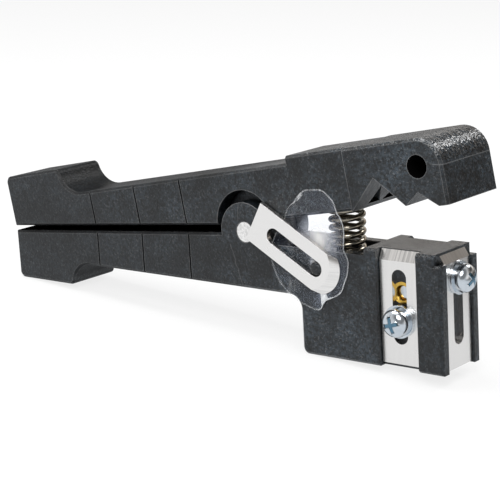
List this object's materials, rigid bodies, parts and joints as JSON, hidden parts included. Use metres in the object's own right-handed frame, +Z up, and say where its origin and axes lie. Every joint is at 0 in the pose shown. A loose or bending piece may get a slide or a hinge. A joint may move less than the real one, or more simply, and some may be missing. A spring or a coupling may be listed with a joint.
{
  "type": "cable jacket stripper",
  "caption": "Sprung hand tool with a V-notched jaw over a block of screw-clamped sliding blades, for slitting and ringing cable jackets.",
  "frame": {"origin": "under the middle of the tool's box, on the surface that it stands on", "axes": "+X towards the jaws, +Y to the back, +Z up, standing on the finger stop and the block's heel"},
  "size_m": [0.1412, 0.0214, 0.0559],
  "materials": {
    "black_plastic": "black glass-filled moulding with a fine grain",
    "blade_steel": "ground hardened steel",
    "zinc_steel": "bright zinc plate",
    "brass": "turned brass",
    "pin_steel": "ground pin",
    "spring_steel": "bright wire",
    "clear_film": "clear plastic film"
  },
  "bodies": {
    "lower": {"lower_arm": "black_plastic", "pivot_pin": "pin_steel", "lower_spring_pin": "pin_steel", "jaw_spring": "spring_steel", "front_insert": "brass", "rear_insert": "brass", "end_insert": "brass", "spare_blade": "blade_steel", "retaining_film": "clear_film"},
    "upper": {"upper_arm": "black_plastic", "upper_spring_pin": "pin_steel"},
    "front_blade_slide": {"front_blade": "blade_steel"},
    "front_screw_set": {"front_screw": "zinc_steel", "front_lock_washer": "zinc_steel", "front_flat_washer": "zinc_steel"},
    "rear_blade_slide": {"rear_blade": "blade_steel"},
    "rear_screw_set": {"rear_screw": "zinc_steel", "rear_lock_washer": "zinc_steel", "rear_flat_washer": "zinc_steel"},
    "end_blade_slide": {"end_blade": "blade_steel"},
    "end_screw_set": {"end_screw": "zinc_steel", "end_lock_washer": "zinc_steel", "end_flat_washer": "zinc_steel"}
  },
  "joints": [
    {"name": "jaw", "type": "hinge", "parent": "lower", "child": "upper", "pos_m": [0.01209, 0, 0.02609], "axis": [0, 1, 0], "range_deg": [-0.8, 12.7], "stiffness_Nm_per_rad": 1.2, "springref_deg": 14.9, "deforming": ["jaw_spring"]},
    {"name": "front_blade_height", "type": "slide", "parent": "lower", "child": "front_blade_slide", "axis": [-0.0821, 0, 0.9966], "range_m": [-0.0009, 0.0012]},
    {"name": "front_screw_turn", "type": "hinge", "parent": "lower", "child": "front_screw_set", "pos_m": [0.05611, -0.0083, 0.01306], "axis": [0, -1, 0], "continuous": true},
    {"name": "rear_blade_height", "type": "slide", "parent": "lower", "child": "rear_blade_slide", "axis": [-0.0821, 0, 0.9966], "range_m": [-0.0009, 0.0012]},
    {"name": "rear_screw_turn", "type": "hinge", "parent": "lower", "child": "rear_screw_set", "pos_m": [0.0556, 0.0083, 0.01924], "axis": [0, 1, 0], "continuous": true},
    {"name": "end_blade_height", "type": "slide", "parent": "lower", "child": "end_blade_slide", "axis": [-0.0821, 0, 0.9966], "range_m": [0, 0.0012]},
    {"name": "end_screw_turn", "type": "hinge", "parent": "lower", "child": "end_screw_set", "pos_m": [0.06806, 0, 0.02398], "axis": [0.9966, 0, 0.0821], "continuous": true}
  ]
}
